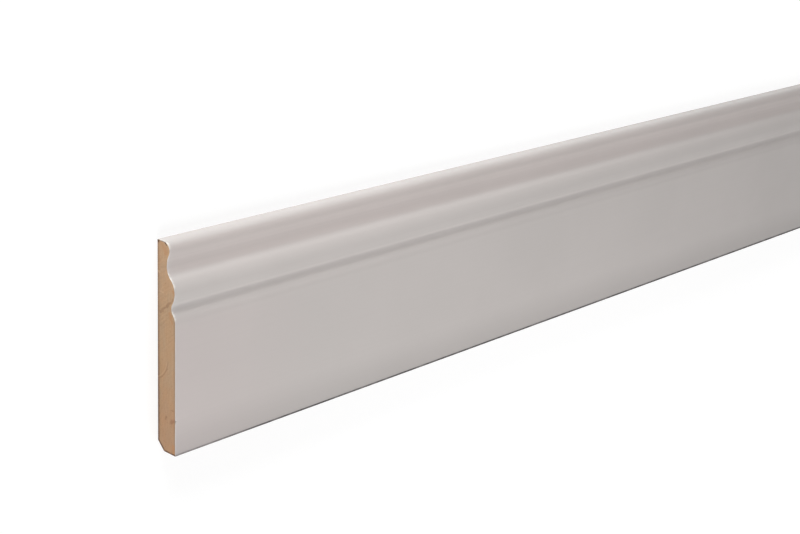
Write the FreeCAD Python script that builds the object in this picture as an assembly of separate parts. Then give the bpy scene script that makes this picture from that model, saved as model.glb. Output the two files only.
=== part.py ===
import FreeCAD, Part
import math
import os

# One length of ogee skirting board, sawn square at both ends, in millimetres.
# It lies on its back: X runs along the length, Y across the width towards the
# moulded edge, and Z out of the face. The origin is the middle of the back.

# Stock size
length = 2400.0
width = 119.0
thickness = 14.5

# Depths of the moulding, each measured from the turn that it starts at
belly_set_back = 0.4     # crest of the belly behind the flat face
groove_depth = 3.1       # floor of the groove behind the flat face
cove_depth = 6.35        # floor of the cove behind the crest of the belly
nose_overhang = 2.25     # front of the nose before the floor of the cove

# Heights of the moulding, each from one turn of the outline down to the next
nose_radius = 4.5        # top edge to the front of the nose, a quarter round
nose_to_cove = 8.5
cove_to_belly = 13.8
belly_to_groove = 8.7
groove_to_face = 8.0

# Radii that are set by the cutter; the arc on the other side of each swing follows
belly_radius = 9.6       # upper side of the belly, above its crest
groove_radius = 4.5      # both sides of the groove's floor

# Edges at the foot
foot_round = 0.4         # arris between the face and the bottom edge
back_chamfer = 5.2       # splay that clears the corner of floor and wall

# A round is held to this share of the space that it is cut in
round_limit = 0.9

# Distances out of the back at which the moulding turns
belly_out = thickness - belly_set_back
groove_out = thickness - groove_depth
cove_out = belly_out - cove_depth
nose_out = cove_out + nose_overhang
nose_round = min(nose_radius, round_limit * nose_out)

# Heights above the bottom edge at which it turns
nose_at = width - nose_round
cove_at = nose_at - nose_to_cove
belly_at = cove_at - cove_to_belly
groove_at = belly_at - belly_to_groove
face_at = groove_at - groove_to_face


def point(height, out):
    """A point of the section, from its height above the bottom edge and distance out of the back."""
    return FreeCAD.Vector(-length / 2, height - width / 2, out)


def arc(start, centre, end):
    """The shorter arc from start to end round a centre."""
    radius = (start - centre).Length
    middle = (start - centre) + (end - centre)
    middle.normalize()
    return Part.Arc(start, centre + middle * radius, end).toShape()


def line(start, end):
    return Part.LineSegment(start, end).toShape()


def swing(start, end, first_radius=None, last_radius=None):
    """Two arcs that leave one turn of the outline and reach the next without a corner.

    Each turn is a (height, out) pair where the outline runs parallel to the back.
    One radius is given, and the other is what the height and depth of the swing leave.
    """
    fall = start[0] - end[0]
    depth = end[1] - start[1]
    both_radii = (fall ** 2 + depth ** 2) / (2 * abs(depth))
    if first_radius is None:
        first_radius = both_radii - min(last_radius, round_limit * both_radii)
    first_radius = min(first_radius, round_limit * both_radii)
    last_radius = both_radii - first_radius
    side = math.copysign(1, depth)
    share = first_radius / both_radii
    meet = point(start[0] - share * fall, start[1] + share * depth)
    first_centre = point(start[0], start[1] + side * first_radius)
    last_centre = point(end[0], end[1] - side * last_radius)
    return [
        arc(point(*start), first_centre, meet),
        arc(meet, last_centre, point(*end)),
    ]


def section():
    """The outline of the sawn end, from the back round the moulding and down the face."""
    nose = (nose_at, nose_out)
    cove = (cove_at, cove_out)
    belly = (belly_at, belly_out)
    groove = (groove_at, groove_out)
    face_top = (face_at, thickness)

    back_low = point(back_chamfer, 0)
    back_high = point(width, 0)
    land_edge = point(width, nose_out - nose_round)
    nose_centre = point(nose_at, nose_out - nose_round)
    face_low = point(foot_round, thickness)
    foot_centre = point(foot_round, thickness - foot_round)
    foot_front = point(0, thickness - foot_round)
    foot_back = point(0, back_chamfer)

    edges = [line(back_low, back_high), line(back_high, land_edge)]
    edges += [arc(land_edge, nose_centre, point(*nose))]
    edges += swing(nose, cove, first_radius=nose_radius)
    edges += swing(cove, belly, last_radius=belly_radius)
    edges += swing(belly, groove, last_radius=groove_radius)
    edges += swing(groove, face_top, first_radius=groove_radius)
    edges += [line(point(*face_top), face_low)]
    edges += [arc(face_low, foot_centre, foot_front)]
    edges += [line(foot_front, foot_back), line(foot_back, back_low)]
    return Part.Face(Part.Wire(edges))


skirting_board = section().extrude(FreeCAD.Vector(length, 0, 0))

os.makedirs("parts", exist_ok=True)
skirting_board.exportStep("parts/skirting_board.step")
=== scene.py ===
import math

import bmesh
import bpy
import numpy as np
from mathutils import Matrix, Vector


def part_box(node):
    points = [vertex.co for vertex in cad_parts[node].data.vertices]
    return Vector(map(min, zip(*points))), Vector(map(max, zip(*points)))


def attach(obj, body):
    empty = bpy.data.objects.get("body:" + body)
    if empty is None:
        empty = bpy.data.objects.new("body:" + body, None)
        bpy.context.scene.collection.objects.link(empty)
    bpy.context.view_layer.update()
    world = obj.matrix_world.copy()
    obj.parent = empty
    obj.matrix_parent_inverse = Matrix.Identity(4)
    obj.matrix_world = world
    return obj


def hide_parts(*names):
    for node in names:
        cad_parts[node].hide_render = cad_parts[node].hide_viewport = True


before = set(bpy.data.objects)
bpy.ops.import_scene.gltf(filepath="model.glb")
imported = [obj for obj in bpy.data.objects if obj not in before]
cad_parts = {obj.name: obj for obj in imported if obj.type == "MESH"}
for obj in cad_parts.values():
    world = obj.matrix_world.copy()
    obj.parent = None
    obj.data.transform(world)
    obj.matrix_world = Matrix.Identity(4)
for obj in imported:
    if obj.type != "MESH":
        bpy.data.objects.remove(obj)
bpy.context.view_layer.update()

# One length of ogee skirting board: a moulded fibreboard length, sawn square at
# both ends, with a film of white primer over its top edge, moulding, face and foot.
# It lies on its back: X along the length, Y towards the moulded edge, Z out of the
# face. Sizes are in metres, apart from two tables in mm. A place on the section is
# given by its height above the foot and its distance out of the back.

BOARD = "skirting_board"
MM = 0.001

low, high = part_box(BOARD)
LENGTH, WIDTH, THICKNESS = high - low
HALF_LENGTH = LENGTH / 2
FOOT_Y = low.y

# Depths of the moulding, each measured from the turn that it starts at
BELLY_SET_BACK = 0.4 * MM
GROOVE_DEPTH = 3.1 * MM
COVE_DEPTH = 6.35 * MM
NOSE_OVERHANG = 2.25 * MM

# Heights of the moulding, each from one turn of the outline down to the next
NOSE_RADIUS = 4.5 * MM
NOSE_TO_COVE = 8.5 * MM
COVE_TO_BELLY = 13.8 * MM
BELLY_TO_GROOVE = 8.7 * MM
GROOVE_TO_FACE = 8.0 * MM

# Radii that are set by the cutter
BELLY_RADIUS = 9.6 * MM
GROOVE_RADIUS = 4.5 * MM

# Edges at the foot
FOOT_ROUND = 0.4 * MM
BACK_CHAMFER = 5.2 * MM

# Distances out of the back at which the moulding turns
BELLY_OUT = THICKNESS - BELLY_SET_BACK
GROOVE_OUT = THICKNESS - GROOVE_DEPTH
COVE_OUT = BELLY_OUT - COVE_DEPTH
NOSE_OUT = COVE_OUT + NOSE_OVERHANG

# Tilts of the surface: it is 0 where the surface faces straight out
FACING_UP = math.pi / 2
FACING_DOWN = -math.pi / 2

# The film of primer
FILM = 0.3 * MM
TOP_FILM = 0.12 * MM        # on the flat of the top edge
FILM_TAPER = 6              # how late the film thins as the surface turns up

# Spacing of the points round the section and of the rings along the length
ARC_STEP = math.radians(3.5)
FOOT_ARC_STEP = 3 * ARC_STEP
FACE_STEP = 0.8 * MM
BACK_STEP = 5 * MM
STATION_STEP = 40 * MM
CLOSE_RINGS = 3             # rings at each end that lie one arris apart
CREASE = math.radians(28)   # an edge that turns more than this stays sharp

# The sawn ends
SLICE = 2.0 * MM            # depth of the piece that carries each sawn end
RELIEF_PITCH = 0.32 * MM    # spacing of its points
RIM_STEPS = 3               # points from its rim to full relief
BLADE_CENTRE = (-18 * MM, 79 * MM)
SAW_PITCH = 2.1 * MM
SAW_DEPTH = 0.05 * MM
TORN_SCALE = 700.0
TORN_DEPTH = 0.12 * MM

# The film's cut edge
FILM_ARRIS = 0.55 * MM
FILM_ARRIS_FALL = 0.19 * MM
RAGGED_SCALE = 900.0
RAGGED_DEPTH = 0.12 * MM
CHIP_HEIGHT = 20.4 * MM
CHIP_SIZE = 1.2 * MM
CHIP_DEPTH = 0.8            # share of its size
BOARD_ARRIS = 0.4 * MM

# Colours of the primer, as linear red, green and blue
PRIMER_THICK = (0.518, 0.483, 0.466)
PRIMER_THIN = (0.501, 0.468, 0.451)
PRIMER_LINE = (0.440, 0.402, 0.388)
# painted shade: the near-black contact shadow along the foot's front arris
PRIMER_PAINTED_SHADE = (0.028, 0.025, 0.024)
PRIMER_CUT = (0.560, 0.515, 0.480)
# painted highlight on the film's cut edge where it faces up
PRIMER_CUT_HIGHLIGHT = (0.950, 0.920, 0.850)
BLACK = (0.0, 0.0, 0.0)

# Tints of the primer, as the share that is kept of each colour
# painted shade round the nose, narrowing the top edge's highlight
NOSE_SHADE_TINT = (0.968, 0.968, 0.968)       # round the nose
SAWDUST_TINT = (1.012, 0.981, 0.987)    # on the face beside the sawn ends

# Painted light and shade across the moulding, and a blush: the heights in mm between which each sets
# in from below, those between which it sets in from above, and the tint. Painted light lifts the
# cove, the groove and the belly, and painted shade darkens the shoulder.
MOULDING_LIGHT_AND_TINTS = {
    "painted light in the cove": ((101, 105), (112, 108.5), (1.092, 1.092, 1.092)),
    "painted light in the groove": ((81, 83.5), (88, 84.5), (1.055, 1.055, 1.060)),
    "painted light on the belly": ((86.5, 89), (93.5, 91), (1.030, 1.030, 1.030)),
    "blush from the nose to the cove": ((100, 103), (118.5, 116.5), (1.016, 0.983, 0.980)),
    "painted shade on the shoulder": ((74, 77), (82, 80), (0.950, 0.950, 0.950)),
}

# Colours of the fibreboard
BOARD_PALE = (0.590, 0.400, 0.255)
BOARD_WARM = (0.510, 0.325, 0.188)
BOARD_OLIVE = (0.485, 0.330, 0.205)
BOARD_DARK = (0.350, 0.212, 0.118)
BOARD_FLECK = (0.240, 0.130, 0.068)
BOARD_SKIN = (0.210, 0.130, 0.088)
BOARD_BURN = (0.270, 0.140, 0.075)
BOARD_TORN = (0.300, 0.130, 0.080)
BOARD_EDGE = (0.110, 0.055, 0.035)
BOARD_ORANGE = (0.520, 0.235, 0.090)
# painted shade towards the foot and painted light towards the top of the fibreboard
FOOT_SHADE_TINT = (0.97, 0.89, 0.87)
TOP_LIGHT_TINT = (1.07, 1.07, 1.09)

# Marks on the near end's sawn face: from one point to another, each (height, out) in mm,
# the half width in mm, the strength and the colour
NEAR_MARKS = {
    "scorched smear": ((79.5, 2.4), (88.4, 12.4), 0.70, 0.40, BOARD_BURN),
    "speck": ((19.8, 6.7), (20.9, 6.9), 0.75, 0.60, BOARD_BURN),
    "torn spot": ((19.0, 11.0), (20.6, 13.6), 1.10, 0.50, BOARD_TORN),
    "dent at the top corner": ((119.0, 0.0), (118.5, 0.6), 0.90, 0.80, BOARD_EDGE),
    "warm patch in the nose": ((117.0, 4.0), (113.0, 7.0), 1.60, 0.30, BOARD_ORANGE),
    "nick at the nose": ((118.2, 6.4), (117.4, 7.6), 0.50, 0.85, BOARD_EDGE),
    "warm patch at the groove": ((80.5, 10.0), (76.0, 11.5), 0.90, 0.40, BOARD_ORANGE),
    "warm patch at the belly": ((93.5, 12.6), (91.5, 13.4), 0.70, 0.40, BOARD_ORANGE),
    "warm patch at the foot": ((5.0, 12.4), (2.5, 13.2), 1.20, 0.45, BOARD_ORANGE),
    "faint dash": ((26.0, 10.6), (26.0, 12.4), 0.45, 0.30, BOARD_BURN),
    "pale nick": ((90.8, 2.2), (90.8, 4.6), 0.35, 0.60, BOARD_PALE),
    "pale chip": ((101.6, 0.8), (101.2, 1.3), 0.60, 0.70, BOARD_PALE),
}
MARK_CORE = 0.3             # share of the half width at full strength
MARK_REACH = 1.5            # share of the half width at which a mark is gone
MARK_WANDER = 0.6 * MM      # how far its outline strays

# A curved scratch low on the near end: its lines, each by how far it lies outside the radius,
# and its colour. A pale line runs inside the dark one.
SCRATCH_CENTRE = (54.1 * MM, -5.7 * MM)
SCRATCH_RADIUS = 14.1 * MM
SCRATCH_LINES = ((0.0, BOARD_BURN), (-0.9 * MM, BOARD_PALE))

# Studio
FLOOR = 30.0
AMBIENT = 0.22
WHITE = (1, 1, 1, 1)
FLOOR_COLOUR = (0.8, 0.8, 0.8, 1)
SEEN_FLOOR_COLOUR = (0.28, 0.28, 0.28, 1)
# The floor's glow beside the board, as parts that add up. Each goes from one place to another,
# along X or, towards the key, along Y, and ends with the glow at both. Gloss sees one part more.
GLOW_TO_MIDDLE = (-1.15, -0.45, 0.75, 0.83)
GLOW_PAST_MIDDLE = (-0.3, 0.2, 0.0, -0.04)
GLOW_TOWARDS_KEY = (0.0, 0.1, 0.0, 0.03)
GLOW_FOR_GLOSS = (-1.15, -0.45, 0.45, 0.25)
OPEN_FLOOR = (0.12, 0.5)    # distances from the board between which the open floor sets in
OPEN_FLOOR_GLOW = 0.95
# Each soft light: place, the point it faces, size across and up, spread in degrees, watts
SOFT_LIGHTS = {
    "key": ((-1.30, 0.97, 0.26), (-1.1, 0.0, 0.0), (0.8, 0.48), 150, 7.35),
    "fill": ((-1.15, -0.77, 0.64), (-1.1, 0.0, 0.0), (0.9, 0.8), 150, 6.4),
    "end_fill": ((-2.20, 0.0, 0.22), (-1.2, 0.0, 0.0), (0.6, 0.3), 180, 1.7),
    "far_key": ((0.55, 0.97, 0.40), (0.55, 0.0, 0.0), (1.9, 0.5), 28, 1.3),
    "far_fill": ((0.55, -0.77, 0.64), (0.55, 0.0, 0.0), (1.9, 0.8), 28, 1.45),
    "far_end_fill": ((2.20, 0.10, 0.40), (1.2, 0.0, 0.0), (0.6, 0.4), 90, 2.0),
    "middle_key": ((-0.59, 0.97, 0.32), (-0.59, 0.0, 0.0), (0.40, 0.5), 60, 0.8),
    "middle_fill": ((-0.52, -0.77, 0.64), (-0.52, 0.0, 0.0), (0.40, 0.8), 60, 0.5),
}
LIGHTS_WITHOUT_SHEEN = ("end_fill", "far_end_fill")
LIGHTS_FOR_SHEEN_ALONE = ("middle_key", "middle_fill")
CAMERA_PLACE = Vector((-1.69617, 0.31345, 0.62057))
CAMERA_TARGET = Vector((-1.02849, 0.01124, 0.01450))
CAMERA_ROLL = math.radians(108.849)
SENSOR_WIDTH = 36.0
FOCAL_LENGTH = 71.71


class Nodes:
    """Adds nodes to a tree. An input is either a value or another node's socket."""

    def __init__(self, tree):
        self.tree = tree

    def add(self, kind, inputs=None, **settings):
        node = self.tree.nodes.new(kind)
        for name, value in settings.items():
            setattr(node, name, value)
        for key, value in (inputs or {}).items():
            socket = node.inputs[key]
            if isinstance(value, bpy.types.NodeSocket):
                self.tree.links.new(value, socket)
            else:
                socket.default_value = value
        return node

    def math(self, operation, first, second=0.0, third=0.0):
        inputs = {0: first, 1: second, 2: third}
        return self.add("ShaderNodeMath", inputs, operation=operation).outputs[0]

    def product(self, first, *others):
        """All the values multiplied together."""
        for other in others:
            first = self.math("MULTIPLY", first, other)
        return first

    def vector(self, operation, first, second=(0, 0, 0)):
        node = self.add("ShaderNodeVectorMath", {0: first, 1: second}, operation=operation)
        return node.outputs["Value" if operation in ("LENGTH", "DOT_PRODUCT") else "Vector"]

    def scaled(self, vector, factor):
        node = self.add("ShaderNodeVectorMath", {0: vector, "Scale": factor}, operation="SCALE")
        return node.outputs["Vector"]

    def split(self, vector):
        return self.add("ShaderNodeSeparateXYZ", {0: vector}).outputs

    def joined(self, x=0.0, y=0.0, z=0.0):
        return self.add("ShaderNodeCombineXYZ", {0: x, 1: y, 2: z}).outputs[0]

    def attribute(self, name, kind):
        inputs = {"Name": name}
        return self.add("GeometryNodeInputNamedAttribute", inputs, data_type=kind).outputs[0]

    def from_line(self, place, first, second=None):
        """How far a flat place is from a point, or from the straight line between two points."""
        first = Vector((*first, 0))
        to_place = self.vector("SUBTRACT", place, first)
        if second is not None:
            along = Vector((*second, 0)) - first
            share = self.vector("DOT_PRODUCT", to_place, along / along.length_squared)
            share = self.add("ShaderNodeClamp", {"Value": share}).outputs[0]
            to_place = self.vector("SUBTRACT", to_place, self.scaled(along, share))
        return self.vector("LENGTH", to_place)

    def span(self, value, start, end, at_start=0.0, at_end=1.0, shape="SMOOTHSTEP"):
        """at_start up to start and at_end past end, with a smooth or straight way between."""
        inputs = {"Value": value, 1: start, 2: end, 3: at_start, 4: at_end}
        return self.add("ShaderNodeMapRange", inputs, interpolation_type=shape).outputs[0]

    def noise(self, vector, scale=1.0, detail=2.0, roughness=0.5):
        inputs = {"Vector": vector, "Scale": scale, "Detail": detail, "Roughness": roughness}
        return self.add("ShaderNodeTexNoise", inputs).outputs[0]

    def patches(self, vector, scale, detail, between, to=(0.0, 1.0), roughness=0.5):
        """Uneven patches, as the noise rises between two of its levels."""
        return self.span(self.noise(vector, scale, detail, roughness), *between, *to)

    def mix(self, factor, first, second, blend="MIX"):
        node = self.add("ShaderNodeMix", {0: factor}, data_type="RGBA", blend_type=blend)
        for socket, value in ((node.inputs[6], first), (node.inputs[7], second)):
            if isinstance(value, bpy.types.NodeSocket):
                self.tree.links.new(value, socket)
            else:
                socket.default_value = (*value, 1.0)
        return node.outputs[2]

    def tinted(self, factor, colour, tint):
        return self.mix(factor, colour, tint, "MULTIPLY")

    def bump(self, height, strength, distance, under=None):
        inputs = {"Height": height, "Strength": strength, "Distance": distance}
        if under is not None:
            inputs["Normal"] = under
        return self.add("ShaderNodeBump", inputs).outputs[0]

    def seen(self, path):
        """1 for rays from the camera, gloss and glass, and 0 for the rays that light things."""
        seen = self.math("MAXIMUM", path["Is Camera Ray"], path["Is Glossy Ray"])
        return self.math("MAXIMUM", seen, path["Is Transmission Ray"])


# The section


def steps(start, end, size):
    """Evenly spaced values from start to end, no further apart than size."""
    count = max(1, math.ceil(abs(end - start) / size))
    return [start + (end - start) * k / count for k in range(count + 1)]


def swing(start, end, first_radius=None, last_radius=None):
    """Points down the outline from one turn to the next, on two arcs that meet without a corner.

    A point is (height, out, tilt), and the tilt is positive where the surface faces up.
    """
    fall = start[0] - end[0]
    depth = end[1] - start[1]
    side = math.copysign(1, depth)
    turn = 2 * math.atan(abs(depth) / fall)
    both_radii = fall / math.sin(turn)
    if first_radius is None:
        first_radius = both_radii - last_radius
    last_radius = both_radii - first_radius
    points = []
    for tilt in steps(0, turn, ARC_STEP)[1:]:
        height = start[0] - first_radius * math.sin(tilt)
        out = start[1] + side * first_radius * (1 - math.cos(tilt))
        points.append((height, out, side * tilt))
    for tilt in steps(turn, 0, ARC_STEP)[1:]:
        height = end[0] + last_radius * math.sin(tilt)
        out = end[1] - side * last_radius * (1 - math.cos(tilt))
        points.append((height, out, side * tilt))
    return points


def front_line():
    """The outline from the front of the top edge, down the moulding and the face, to the foot."""
    nose = (WIDTH - NOSE_RADIUS, NOSE_OUT)
    cove = (nose[0] - NOSE_TO_COVE, COVE_OUT)
    belly = (cove[0] - COVE_TO_BELLY, BELLY_OUT)
    groove = (belly[0] - BELLY_TO_GROOVE, GROOVE_OUT)
    face_top = (groove[0] - GROOVE_TO_FACE, THICKNESS)
    line = []
    for tilt in steps(FACING_UP, 0, ARC_STEP):
        height = nose[0] + NOSE_RADIUS * math.sin(tilt)
        line.append((height, NOSE_OUT + NOSE_RADIUS * (math.cos(tilt) - 1), tilt))
    line += swing(nose, cove, first_radius=NOSE_RADIUS)
    line += swing(cove, belly, last_radius=BELLY_RADIUS)
    line += swing(belly, groove, last_radius=GROOVE_RADIUS)
    line += swing(groove, face_top, first_radius=GROOVE_RADIUS)
    line += [(height, THICKNESS, 0) for height in steps(face_top[0], FOOT_ROUND, FACE_STEP)[1:]]
    for tilt in steps(0, FACING_DOWN, FOOT_ARC_STEP)[1:]:
        height = FOOT_ROUND * (1 + math.sin(tilt))
        line.append((height, THICKNESS + FOOT_ROUND * (math.cos(tilt) - 1), tilt))
    return line


def primed_line():
    """All the primed outline: the top edge from the back, the front, and the foot."""
    top_outs = steps(0, NOSE_OUT - NOSE_RADIUS, FACE_STEP)
    foot_outs = steps(THICKNESS - FOOT_ROUND, BACK_CHAMFER, FACE_STEP)
    top_edge = [(WIDTH, out, FACING_UP) for out in top_outs[:-1]]
    foot = [(0, out, FACING_DOWN) for out in foot_outs[1:]]
    return top_edge + front_line() + foot


def under_primer(line):
    """The (height, out) points under the film, which thins out towards the top edge."""
    points = []
    for height, out, tilt in line:
        film = FILM - (FILM - TOP_FILM) * max(0, math.sin(tilt)) ** FILM_TAPER
        points.append((height - film * math.sin(tilt), out - film * math.cos(tilt)))
    return points


def film_outline():
    """The closed outline of the film, and the way out at each of its points, nil inside it."""
    line = primed_line()
    skin = [(height, out) for height, out, tilt in line]
    inside = under_primer(line)[::-1]
    outward = [(0, math.sin(tilt), math.cos(tilt)) for height, out, tilt in line]
    return skin + inside, outward + [(0, 0, 0)] * len(inside)


def bare_outline():
    """The closed outline of the fibreboard inside the film, with its bare chamfer and back."""
    chamfer = [(FILM, BACK_CHAMFER - FILM), (BACK_CHAMFER, 0)]
    back = [(height, 0) for height in steps(BACK_CHAMFER, WIDTH - TOP_FILM, BACK_STEP)[1:-1]]
    return under_primer(primed_line()) + chamfer + back


# Geometry Nodes: the drawn-out length and the relief of a sawn end


def new_tree(name, sizes):
    """A node tree for a modifier, with a named input for each size."""
    tree = bpy.data.node_groups.new(name, "GeometryNodeTree")
    tree.interface.new_socket("Geometry", in_out="INPUT", socket_type="NodeSocketGeometry")
    for title in sizes:
        tree.interface.new_socket(title, in_out="INPUT", socket_type="NodeSocketFloat")
    tree.interface.new_socket("Material", in_out="INPUT", socket_type="NodeSocketMaterial")
    tree.interface.new_socket("Geometry", in_out="OUTPUT", socket_type="NodeSocketGeometry")
    nodes = Nodes(tree)
    return tree, nodes, nodes.add("NodeGroupInput").outputs


def finish_tree(nodes, geometry, material):
    """Smooth shading up to the crease angle, then the material."""
    angle = nodes.add("GeometryNodeInputMeshEdgeAngle").outputs["Unsigned Angle"]
    flat_enough = nodes.math("LESS_THAN", angle, CREASE)
    smooth = nodes.add("GeometryNodeSetShadeSmooth", {0: geometry, "Shade Smooth": True})
    creased = nodes.add(
        "GeometryNodeSetShadeSmooth",
        {0: smooth.outputs[0], "Shade Smooth": flat_enough},
        domain="EDGE",
    )
    real = nodes.add("GeometryNodeRealizeInstances", {0: creased.outputs[0]})
    done = nodes.add("GeometryNodeSetMaterial", {0: real.outputs[0], "Material": material})
    nodes.add("NodeGroupOutput", {0: done.outputs[0]})


def path_with_close_rings(nodes, half, length, station_step, arris):
    """A straight path along X, whose first points from each end lie one arris apart."""
    ends = {"Start": nodes.joined(nodes.math("MULTIPLY", half, -1.0)), "End": nodes.joined(half)}
    straight = nodes.add("GeometryNodeCurvePrimitiveLine", ends)
    count = nodes.math("CEIL", nodes.math("DIVIDE", length, station_step))
    path = nodes.add("GeometryNodeResampleCurve", {"Curve": straight.outputs[0], "Count": count})

    index = nodes.add("GeometryNodeInputIndex").outputs[0]
    from_far = nodes.math("SUBTRACT", nodes.math("SUBTRACT", count, 1.0), index)
    nearest = nodes.math("MINIMUM", index, from_far)
    side = nodes.math("SIGN", nodes.math("SUBTRACT", index, from_far))
    inside = nodes.math("SUBTRACT", half, nodes.math("MULTIPLY", nearest, arris))
    close = nodes.joined(nodes.math("MULTIPLY", side, inside))
    is_close = nodes.math("LESS_THAN", nearest, CLOSE_RINGS - 0.5)
    inputs = {"Geometry": path.outputs[0], "Selection": is_close, "Position": close}
    return nodes.add("GeometryNodeSetPosition", inputs).outputs[0]


def drawn_length_tree():
    """Draws a section out along X, and eases and roughens the arris at both ends."""
    sizes = ("Length", "Station Step", "Arris", "Arris Fall", "Ragged", "Chip Height", "Chip Size")
    tree, nodes, given = new_tree("drawn_length", sizes)
    length, arris = given["Length"], given["Arris"]
    half = nodes.math("MULTIPLY", length, 0.5)
    path = path_with_close_rings(nodes, half, length, given["Station Step"], arris)
    outline = nodes.add("GeometryNodeMeshToCurve", {"Mesh": given["Geometry"]})
    drawn = nodes.add(
        "GeometryNodeCurveToMesh",
        {"Curve": path, "Profile Curve": outline.outputs[0], "Fill Caps": True},
    )

    # The skin falls towards the sawn end over the width of the arris.
    place = nodes.add("GeometryNodeInputPosition").outputs[0]
    x, y = nodes.split(place)[:2]
    to_end = nodes.math("SUBTRACT", half, nodes.math("ABSOLUTE", x))
    fall = nodes.span(to_end, 0.0, arris, given["Arris Fall"], 0.0, shape="LINEAR")
    outward = nodes.attribute("outward", "FLOAT_VECTOR")
    eased = nodes.scaled(outward, nodes.math("MULTIPLY", fall, -1.0))

    # The cut edge is ragged, with one chip in it near the foot of the near end.
    coarse = nodes.patches(place, scale=RAGGED_SCALE, detail=3.0, between=(0.42, 0.75))
    ragged = nodes.math("MULTIPLY", coarse, given["Ragged"])
    off_chip = nodes.math("ABSOLUTE", nodes.math("SUBTRACT", y, given["Chip Height"]))
    bite = nodes.span(off_chip, 0.0, given["Chip Size"], 1.0, 0.0)
    at_near_end = nodes.math("LESS_THAN", x, 0.0)
    chip = nodes.product(bite, given["Chip Size"], CHIP_DEPTH, at_near_end)
    cut_back = nodes.product(nodes.math("MAXIMUM", ragged, chip), nodes.math("SIGN", x))
    past_rings = nodes.math("MULTIPLY", arris, CLOSE_RINGS)
    fading = nodes.span(to_end, 0.0, past_rings, -1.0, 0.0, shape="LINEAR")
    moved = nodes.vector("ADD", eased, nodes.joined(nodes.math("MULTIPLY", cut_back, fading)))
    worn = nodes.add("GeometryNodeSetPosition", {"Geometry": drawn.outputs[0], "Offset": moved})
    finish_tree(nodes, worn.outputs[0], given["Material"])
    return tree


def sawn_relief_tree():
    """Sinks the points of a sawn face by the blade's curved marks and by torn fibres."""
    sizes = ("Mark Depth", "Mark Pitch", "Blade Y", "Blade Z", "Fibre Depth", "Fibre Scale")
    tree, nodes, given = new_tree("sawn_relief", sizes)
    place = nodes.add("GeometryNodeInputPosition").outputs[0]
    x = nodes.split(place)["X"]

    to_blade = nodes.vector("SUBTRACT", place, nodes.joined(x, given["Blade Y"], given["Blade Z"]))
    turns = nodes.math("DIVIDE", nodes.vector("LENGTH", to_blade), given["Mark Pitch"])
    wave = nodes.math("SINE", nodes.math("MULTIPLY", turns, 2 * math.pi))
    marks = nodes.math("MULTIPLY", nodes.span(wave, -1.0, 1.0), given["Mark Depth"])
    torn = nodes.patches(place, given["Fibre Scale"], detail=3.0, between=(0.4, 0.75), roughness=0.6)
    torn = nodes.math("MULTIPLY", torn, given["Fibre Depth"])
    depth = nodes.math("MULTIPLY", nodes.math("ADD", marks, torn), nodes.attribute("sawn", "FLOAT"))
    inwards = nodes.product(depth, nodes.math("SIGN", x), -1.0)
    sunk = nodes.add(
        "GeometryNodeSetPosition", {"Geometry": given["Geometry"], "Offset": nodes.joined(inwards)}
    )
    finish_tree(nodes, sunk.outputs[0], given["Material"])
    return tree


def grown(name, mesh, tree, material, sizes):
    """The plain mesh that a tree makes from a drawn one, as an object at the origin."""
    source = bpy.data.objects.new(name + "_source", mesh)
    bpy.context.scene.collection.objects.link(source)
    modifier = source.modifiers.new("shape", "NODES")
    modifier.node_group = tree
    for item in tree.interface.items_tree:
        if item.in_out == "INPUT" and item.name in sizes:
            modifier[item.identifier] = sizes[item.name]
        if item.in_out == "INPUT" and item.name == "Material":
            modifier[item.identifier] = material
    bpy.context.view_layer.update()
    evaluated = source.evaluated_get(bpy.context.evaluated_depsgraph_get())
    result = bpy.data.meshes.new_from_object(evaluated)
    result.name = name
    source.modifiers.remove(modifier)
    bpy.data.objects.remove(source)
    piece = bpy.data.objects.new(name, result)
    bpy.context.scene.collection.objects.link(piece)
    return piece


# Meshes that the trees start from


def outline_mesh(name, points, outward=None):
    """A closed ring of edges, with the way out of the board at each of its points.

    On a path along +X, Curve to Mesh lays a profile's X and Y along -Y and -Z.
    """
    corners = [(-(height + FOOT_Y), -out, 0) for height, out in points]
    ring = [(k, (k + 1) % len(corners)) for k in range(len(corners))]
    mesh = bpy.data.meshes.new(name)
    mesh.from_pydata(corners, ring, [])
    layer = mesh.attributes.new("outward", "FLOAT_VECTOR", "POINT")
    layer.data.foreach_set("vector", np.ravel(outward or [(0, 0, 0)] * len(points)))
    return mesh


def sawn_grid():
    """Rows of (Y, Z) points over the sawn face from the foot up, and the relief at each point.

    The relief is 0 on the rim, where the face meets the film and the back, and 1 inside it.
    """
    front = under_primer(front_line())[::-1]
    heights, outs = zip(*front)
    rows = []
    for first, second in zip(heights, heights[1:]):
        rows += steps(first, second, RELIEF_PITCH)[:-1]
    rows.append(heights[-1])
    across, down = round(THICKNESS / RELIEF_PITCH), len(rows)
    points, relief = [], []
    for i, height in enumerate(rows):
        back = max(0, BACK_CHAMFER - height)
        reach = np.interp(height, heights, outs) - back
        for k, share in enumerate(np.linspace(0, 1, across)):
            points.append((height + FOOT_Y, back + share * reach))
            from_rim = min(i, k, down - 1 - i, across - 1 - k)
            relief.append(min(1, from_rim / RIM_STEPS))
    return points, relief, across, down


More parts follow.
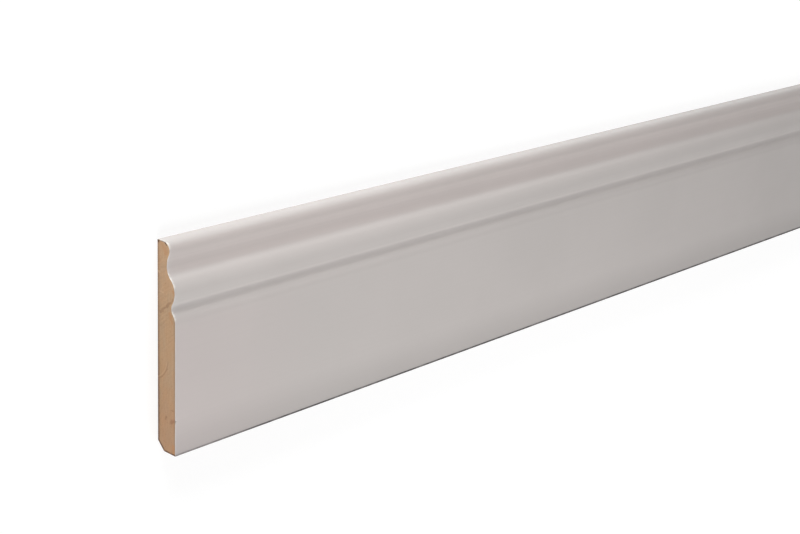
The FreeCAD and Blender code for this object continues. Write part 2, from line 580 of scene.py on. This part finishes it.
def slice_mesh(name, x_sawn, x_inner):
    """A thin closed slice of the fibreboard, with a fine grid of points on its sawn face."""
    grid, relief, across, down = sawn_grid()
    rim = list(range(across))
    rim += [i * across + across - 1 for i in range(1, down)]
    rim += [(down - 1) * across + k for k in range(across - 2, -1, -1)]
    rim += [i * across for i in range(down - 2, 0, -1)]
    points = [(x_sawn, y, z) for y, z in grid] + [(x_inner, *grid[k]) for k in rim]
    faces = []
    for i in range(down - 1):
        for k in range(across - 1):
            corner = i * across + k
            faces.append((corner, corner + 1, corner + across + 1, corner + across))
    inner = [len(grid) + k for k in range(len(rim))]
    for k in range(len(rim)):
        after = (k + 1) % len(rim)
        faces.append((rim[k], inner[k], inner[after], rim[after]))
    faces.append(tuple(inner))
    mesh = bpy.data.meshes.new(name)
    mesh.from_pydata(points, [], faces)
    layer = mesh.attributes.new("sawn", "FLOAT", "POINT")
    layer.data.foreach_set("value", relief + [0.0] * len(rim))
    shape = bmesh.new()
    shape.from_mesh(mesh)
    bmesh.ops.recalc_face_normals(shape, faces=shape.faces)
    shape.to_mesh(mesh)
    shape.free()
    return mesh


# Materials


def new_material(name):
    """A material with one Principled shader, and the place on the piece to draw its pattern by."""
    material = bpy.data.materials.new(name)
    material.use_nodes = True
    material.node_tree.nodes.clear()
    nodes = Nodes(material.node_tree)
    shader = nodes.add("ShaderNodeBsdfPrincipled")
    nodes.add("ShaderNodeOutputMaterial", {0: shader.outputs[0]})
    found = nodes.add("ShaderNodeTexCoord").outputs
    return material, nodes, shader, found["Object"], found["Normal"]


def in_mm(values):
    return [value * MM for value in values]


def primer_colour(nodes, place, height, out, from_end, moulded, lines):
    """Cloudy white, with painted light, painted shade and a blush across the moulding, painted shade
    round the nose and low on the face, a tint beside the sawn ends, and drawn-out lines.
    """
    cloudy = nodes.patches(place, scale=14.0, detail=3.0, between=(0.3, 0.7))
    colour = nodes.mix(cloudy, PRIMER_THIN, PRIMER_THICK)
    # Painted light and shade across the moulding, and its blush
    for from_below, from_above, tint in MOULDING_LIGHT_AND_TINTS.values():
        rise = nodes.span(height, *in_mm(from_below))
        fall = nodes.span(height, *in_mm(from_above))
        colour = nodes.tinted(nodes.product(rise, fall), colour, tint)
    # Painted shade round the nose
    above_cove = nodes.span(height, 113.5 * MM, 115.5 * MM)
    on_nose = nodes.product(above_cove, nodes.span(out, 3.0 * MM, 5.5 * MM))
    colour = nodes.tinted(on_nose, colour, NOSE_SHADE_TINT)
    on_face = nodes.span(height, 84 * MM, 70 * MM)
    by_end = nodes.product(nodes.span(from_end, 120 * MM, 0.0), on_face)
    colour = nodes.tinted(by_end, colour, SAWDUST_TINT)
    strength = nodes.span(moulded, 0.0, 1.0, 0.06, 0.14)
    streak = nodes.product(nodes.span(lines, 0.4, 0.7), strength)
    colour = nodes.mix(streak, colour, PRIMER_LINE)

    # Painted shade low on the face, darker towards the foot, as when the board stands on its foot
    shade_towards_foot = nodes.span(height, 24 * MM, 0.0, 0.0, 0.15)
    shade_at_foot = nodes.span(height, 4 * MM, 0.0, 0.0, 0.08)
    return nodes.mix(nodes.math("ADD", shade_towards_foot, shade_at_foot), colour, BLACK)


def primer_shade_and_dust(nodes, place, height, out, from_near):
    """Painted contact shadow along the front arris of the foot, in dusty patches, and a faint dark
    line at the back of the top edge.
    """
    shade_patches = nodes.patches(
        place, scale=120.0, detail=4.0, between=(0.25, 0.6), to=(0.7, 1.0), roughness=0.6
    )
    reach = nodes.span(from_near, 0.0, LENGTH / 4, 1.2 * MM, 1.5 * MM, shape="LINEAR")
    low_down = nodes.span(nodes.math("DIVIDE", height, reach), 1.15, 0.75, 0.0, 0.95)
    fading_to_near_end = nodes.span(from_near, 0.0, 80 * MM, 0.6, 1.0)
    in_front = nodes.span(out, THICKNESS - 1.5 * MM, THICKNESS - 0.5 * MM, 0.12, 1.0)
    on_foot = nodes.product(low_down, shade_patches, fading_to_near_end, in_front)
    at_top = nodes.span(height, 118 * MM, 118.9 * MM)
    at_back = nodes.span(out, 1.4 * MM, 0.6 * MM)
    on_top = nodes.product(at_top, at_back, nodes.span(from_near, 200 * MM, 450 * MM, 0.0, 0.2))
    return nodes.math("MAXIMUM", on_foot, on_top)


def with_cut_edge(nodes, colour, place, normal, height, from_end):
    """The film's cut edge at the sawn ends, with a painted highlight on the moulding's upward-facing
    slopes, dark at the foot, and painted highlight flecks beside it there.
    """
    facing = nodes.split(normal)
    # Painted highlight where the cut edge faces up, as a light from above would catch it
    lit_upper = nodes.span(facing["Y"], 0.15, 0.45)
    edge = nodes.mix(lit_upper, PRIMER_CUT, PRIMER_CUT_HIGHLIGHT)
    edge = nodes.mix(nodes.span(height, 0.9 * MM, 0.4 * MM), edge, BOARD_EDGE)
    flecked = nodes.patches(place, scale=700.0, detail=2.0, between=(0.35, 0.6), to=(0.05, 0.35))
    highlight_flecks = nodes.product(nodes.span(from_end, 1.4 * MM, 0.5 * MM), lit_upper, flecked)
    colour = nodes.mix(highlight_flecks, colour, PRIMER_CUT_HIGHLIGHT)
    cut = nodes.span(nodes.math("ABSOLUTE", facing["X"]), 0.15, 0.45)
    return nodes.mix(cut, colour, edge)


def white_primer():
    """Sprayed primer: a satin film, faintly cloudy, over the fine lines that the cutters leave."""
    material, nodes, shader, place, normal = new_material("white_primer")
    along, across, out = nodes.split(place)
    height = nodes.math("SUBTRACT", across, FOOT_Y)
    from_near = nodes.math("ADD", along, HALF_LENGTH)
    from_end = nodes.math("SUBTRACT", HALF_LENGTH, nodes.math("ABSOLUTE", along))
    moulded = nodes.span(height, 74 * MM, 80 * MM)
    drawn_out = nodes.vector("MULTIPLY", place, (2.0, 700.0, 700.0))
    lines = nodes.noise(drawn_out, detail=3.0, roughness=0.6)

    colour = primer_colour(nodes, place, height, out, from_end, moulded, lines)
    # Painted contact shadow along the foot's front arris, dull like dust, and a faint dark line at
    # the back of the top edge
    shade_and_dust = primer_shade_and_dust(nodes, place, height, out, from_near)
    colour = nodes.mix(shade_and_dust, colour, PRIMER_PAINTED_SHADE)
    colour = with_cut_edge(nodes, colour, place, normal, height, from_end)
    nodes.tree.links.new(colour, shader.inputs["Base Color"])

    satin = nodes.patches(place, scale=60.0, detail=3.0, between=(0.3, 0.7), to=(0.41, 0.47))
    nodes.tree.links.new(nodes.math("MAXIMUM", satin, shade_and_dust), shader.inputs["Roughness"])

    # Spray texture all over, and raised fibres where the cutters opened the board
    spray = nodes.noise(place, scale=950.0, detail=2.0)
    soft = nodes.bump(spray, strength=0.12, distance=0.12 * MM)
    fibres = nodes.noise(place, scale=2300.0, detail=3.0, roughness=0.65)
    raised = nodes.math("ADD", nodes.product(fibres, moulded), nodes.product(lines, moulded))
    rough = nodes.bump(raised, strength=0.10, distance=0.10 * MM, under=soft)
    nodes.tree.links.new(rough, shader.inputs["Normal"])
    return material


def fibre_colour(nodes, place, height, fine):
    """Patches of warm and grey fibre in faint layers, with warmer painted shade towards the foot and
    painted light towards the top.
    """
    drawn_out = nodes.vector("MULTIPLY", place, (90.0, 70.0, 160.0))
    patch = nodes.noise(drawn_out, detail=3.0, roughness=0.55)
    colour = nodes.mix(nodes.span(patch, 0.36, 0.64), BOARD_OLIVE, BOARD_WARM)
    flattened = nodes.vector("MULTIPLY", place, (110.0, 130.0, 900.0))
    layer = nodes.noise(flattened, detail=3.0, roughness=0.6)
    colour = nodes.mix(nodes.span(layer, 0.4, 0.75, 0.0, 0.4), colour, BOARD_PALE)
    colour = nodes.mix(nodes.span(fine, 0.5, 0.25, 0.0, 0.35), colour, BOARD_DARK)
    flecks = nodes.patches(place, scale=700.0, detail=1.0, between=(0.66, 0.76), to=(0.0, 0.35))
    colour = nodes.mix(flecks, colour, BOARD_FLECK)
    # Painted shade towards the foot and painted light towards the top
    colour = nodes.tinted(nodes.span(height, 60 * MM, 4 * MM), colour, FOOT_SHADE_TINT)
    return nodes.tinted(nodes.span(height, 74 * MM, 104 * MM), colour, TOP_LIGHT_TINT)


def with_skins(nodes, colour, place, height, out, sawn):
    """Dense skins of the pressed sheet, the back one darkest, and a darker lower edge."""
    low_down = nodes.span(height, 20 * MM, 100 * MM, 0.95, 0.42)
    back_skin = nodes.product(nodes.span(out, 0.9 * MM, 1.6 * MM, 1.0, 0.0), low_down)
    from_front = nodes.math("SUBTRACT", THICKNESS, out)
    front_skin = nodes.span(from_front, 0.6 * MM, 1.8 * MM, 0.35, 0.0)
    skin = nodes.product(nodes.math("MAXIMUM", back_skin, front_skin), sawn)
    colour = nodes.mix(skin, colour, BOARD_SKIN)

    past_splay = nodes.math("SUBTRACT", nodes.math("ADD", height, out), BACK_CHAMFER)
    from_splay = nodes.math("MULTIPLY", past_splay, math.sin(math.pi / 4))
    from_low = nodes.math("MINIMUM", from_splay, height)
    patchy = nodes.patches(place, scale=500.0, detail=2.0, between=(0.3, 0.6), to=(0.6, 1.0))
    darker_low_edge = nodes.product(nodes.span(from_low, 0.6 * MM, 1.5 * MM, 1.0, 0.0), patchy, sawn)
    return nodes.mix(darker_low_edge, colour, BOARD_EDGE)


def with_saw_marks(nodes, colour, place, flat, sawn):
    """The blade's curved marks, broken in places."""
    turns = nodes.math("DIVIDE", nodes.from_line(flat, BLADE_CENTRE), SAW_PITCH)
    wave = nodes.math("SINE", nodes.math("MULTIPLY", turns, 2 * math.pi))
    broken = nodes.patches(place, scale=160.0, detail=2.0, between=(0.4, 0.65))
    mark = nodes.product(nodes.span(wave, 0.2, 1.0), broken, sawn, 0.12)
    return nodes.mix(mark, colour, BOARD_DARK)


def with_near_marks(nodes, colour, place, flat, height, near):
    """The marks on the near end, with uneven outlines, and its curved scratch."""
    uneven = nodes.noise(place, scale=420.0, detail=3.0)
    wander = nodes.span(uneven, 0.3, 0.7, -MARK_WANDER, MARK_WANDER, shape="LINEAR")
    for first, second, half_width, strength, shade in NEAR_MARKS.values():
        distance = nodes.from_line(flat, in_mm(first), in_mm(second))
        distance = nodes.math("ADD", distance, wander)
        core, reach = in_mm((MARK_CORE * half_width, MARK_REACH * half_width))
        mark = nodes.product(nodes.span(distance, core, reach, strength, 0.0), near)
        colour = nodes.mix(mark, colour, shade)

    from_arc = nodes.math("SUBTRACT", nodes.from_line(flat, SCRATCH_CENTRE), SCRATCH_RADIUS)
    below = nodes.product(near, nodes.span(height, 51 * MM, 54 * MM, 0.45, 0.0))
    for offset, shade in SCRATCH_LINES:
        off_line = nodes.math("ABSOLUTE", nodes.math("SUBTRACT", from_arc, offset))
        line = nodes.span(off_line, 0.15 * MM, 0.55 * MM, 0.8, 0.0)
        colour = nodes.mix(nodes.product(line, below), colour, shade)
    return colour


def bare_fibreboard():
    """Raw fibreboard: fine matted fibres in faint layers, darker skins, and the saw's marks."""
    material, nodes, shader, place, normal = new_material("bare_fibreboard")
    along, across, out = nodes.split(place)
    height = nodes.math("SUBTRACT", across, FOOT_Y)
    flat = nodes.joined(height, out)
    sawn = nodes.span(nodes.math("ABSOLUTE", nodes.split(normal)["X"]), 0.5, 0.8)
    near = nodes.product(sawn, nodes.math("LESS_THAN", along, 0.0))
    fine = nodes.noise(place, scale=1500.0, detail=4.0, roughness=0.65)

    colour = fibre_colour(nodes, place, height, fine)
    colour = with_skins(nodes, colour, place, height, out, sawn)
    colour = with_saw_marks(nodes, colour, place, flat, sawn)
    colour = with_near_marks(nodes, colour, place, flat, height, near)
    nodes.tree.links.new(colour, shader.inputs["Base Color"])

    shader.inputs["Roughness"].default_value = 0.85
    shader.inputs["Specular IOR Level"].default_value = 0.25
    matted = nodes.bump(fine, strength=0.5, distance=0.15 * MM)
    nodes.tree.links.new(matted, shader.inputs["Normal"])
    return material


# The pieces


def place_piece(piece):
    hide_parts(BOARD)
    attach(piece, "root")


primer = white_primer()
fibreboard = bare_fibreboard()
drawn_length = drawn_length_tree()
sawn_relief = sawn_relief_tree()

skin_points, skin_outward = film_outline()
film = grown(
    "primer_film",
    outline_mesh("film_outline", skin_points, skin_outward),
    drawn_length,
    primer,
    {
        "Length": LENGTH,
        "Station Step": STATION_STEP,
        "Arris": FILM_ARRIS,
        "Arris Fall": FILM_ARRIS_FALL,
        "Ragged": RAGGED_DEPTH,
        "Chip Height": CHIP_HEIGHT + FOOT_Y,
        "Chip Size": CHIP_SIZE,
    },
)
place_piece(film)

body = grown(
    "fibreboard_length",
    outline_mesh("bare_outline", bare_outline()),
    drawn_length,
    fibreboard,
    {"Length": LENGTH - 2 * SLICE, "Station Step": STATION_STEP, "Arris": BOARD_ARRIS},
)
place_piece(body)

for name, end in (("sawn_end_near", -1), ("sawn_end_far", 1)):
    x_sawn = end * HALF_LENGTH
    piece = grown(
        name,
        slice_mesh(name, x_sawn, x_sawn - end * SLICE),
        sawn_relief,
        fibreboard,
        {
            "Mark Depth": SAW_DEPTH,
            "Mark Pitch": SAW_PITCH,
            "Blade Y": BLADE_CENTRE[0] + FOOT_Y,
            "Blade Z": BLADE_CENTRE[1],
            "Fibre Depth": TORN_DEPTH,
            "Fibre Scale": TORN_SCALE,
        },
    )
    place_piece(piece)


# Floor, light and camera


def floor_glow(nodes, path):
    """What the lamps leave short of white on the floor, and no more than that beside the board."""
    x, y = nodes.split(nodes.add("ShaderNodeTexCoord").outputs["Object"])[:2]
    beside = nodes.span(x, *GLOW_TO_MIDDLE, shape="LINEAR")
    beside = nodes.math("ADD", beside, nodes.span(x, *GLOW_PAST_MIDDLE, shape="LINEAR"))
    beside = nodes.math("ADD", beside, nodes.span(y, *GLOW_TOWARDS_KEY, shape="LINEAR"))

    past_end = nodes.math("SUBTRACT", nodes.math("ABSOLUTE", x), HALF_LENGTH)
    past_side = nodes.math("SUBTRACT", nodes.math("ABSOLUTE", y), WIDTH / 2)
    away = nodes.span(nodes.math("MAXIMUM", past_end, past_side), *OPEN_FLOOR)
    more = nodes.product(away, nodes.math("SUBTRACT", OPEN_FLOOR_GLOW, beside))
    glow = nodes.math("ADD", beside, more)

    for_gloss = nodes.span(x, *GLOW_FOR_GLOSS, shape="LINEAR")
    return nodes.math("ADD", glow, nodes.product(path["Is Glossy Ray"], for_gloss))


def floor_material():
    """Pale floor. The camera, gloss and glass see it white, and it keeps the board's shadow."""
    material = bpy.data.materials.new("pale_floor")
    material.use_nodes = True
    material.node_tree.nodes.clear()
    nodes = Nodes(material.node_tree)
    path = nodes.add("ShaderNodeLightPath").outputs
    seen = nodes.seen(path)
    plain = nodes.add("ShaderNodeBsdfDiffuse", {"Color": FLOOR_COLOUR})
    faint = nodes.add("ShaderNodeBsdfDiffuse", {"Color": SEEN_FLOOR_COLOUR})
    strength = floor_glow(nodes, path)
    glow = nodes.add("ShaderNodeEmission", {"Color": WHITE, "Strength": strength})
    white = nodes.add("ShaderNodeAddShader", {0: faint.outputs[0], 1: glow.outputs[0]})
    both = nodes.add("ShaderNodeMixShader", {0: seen, 1: plain.outputs[0], 2: white.outputs[0]})
    nodes.add("ShaderNodeOutputMaterial", {0: both.outputs[0]})
    return material


def make_floor():
    mesh = bpy.data.meshes.new("floor")
    corners = [(-FLOOR, -FLOOR, 0), (FLOOR, -FLOOR, 0), (FLOOR, FLOOR, 0), (-FLOOR, FLOOR, 0)]
    mesh.from_pydata(corners, [], [(0, 1, 2, 3)])
    mesh.materials.append(floor_material())
    floor = bpy.data.objects.new("floor", mesh)
    bpy.context.scene.collection.objects.link(floor)


def make_world():
    """Even studio light from all round; the camera, gloss and glass see plain white."""
    world = bpy.data.worlds.new("studio")
    world.use_nodes = True
    world.node_tree.nodes.clear()
    nodes = Nodes(world.node_tree)
    seen = nodes.seen(nodes.add("ShaderNodeLightPath").outputs)
    strength = nodes.span(seen, 0.0, 1.0, AMBIENT, 1.0, shape="LINEAR")
    sky = nodes.add("ShaderNodeBackground", {"Color": WHITE, "Strength": strength})
    nodes.add("ShaderNodeOutputWorld", {0: sky.outputs[0]})
    bpy.context.scene.world = world


def softbox(name, place, target, size, spread, watts):
    lamp = bpy.data.lights.new(name, "AREA")
    lamp.shape = "RECTANGLE"
    lamp.size, lamp.size_y = size
    lamp.spread = math.radians(spread)
    lamp.energy = watts
    box = bpy.data.objects.new(name, lamp)
    bpy.context.scene.collection.objects.link(box)
    box.location = place
    box.rotation_mode = "QUATERNION"
    box.rotation_quaternion = (Vector(target) - Vector(place)).to_track_quat("-Z", "Y")
    box.visible_camera = False
    box.visible_glossy = name not in LIGHTS_WITHOUT_SHEEN
    box.visible_diffuse = name not in LIGHTS_FOR_SHEEN_ALONE


def make_camera():
    """Stands past the near end, over the moulded edge, and looks down along the board."""
    lens = bpy.data.cameras.new("camera")
    lens.sensor_width = SENSOR_WIDTH
    lens.lens = FOCAL_LENGTH
    lens.clip_start = 0.05
    camera = bpy.data.objects.new("camera", lens)
    bpy.context.scene.collection.objects.link(camera)
    away = (CAMERA_TARGET - CAMERA_PLACE).to_track_quat("-Z", "Y").to_matrix()
    turned = away @ Matrix.Rotation(CAMERA_ROLL, 3, "Z")
    camera.matrix_world = Matrix.Translation(CAMERA_PLACE) @ turned.to_4x4()
    bpy.context.scene.camera = camera


make_floor()
make_world()
for name, settings in SOFT_LIGHTS.items():
    softbox(name, *settings)
make_camera()
bpy.context.scene.view_settings.view_transform = "Standard"
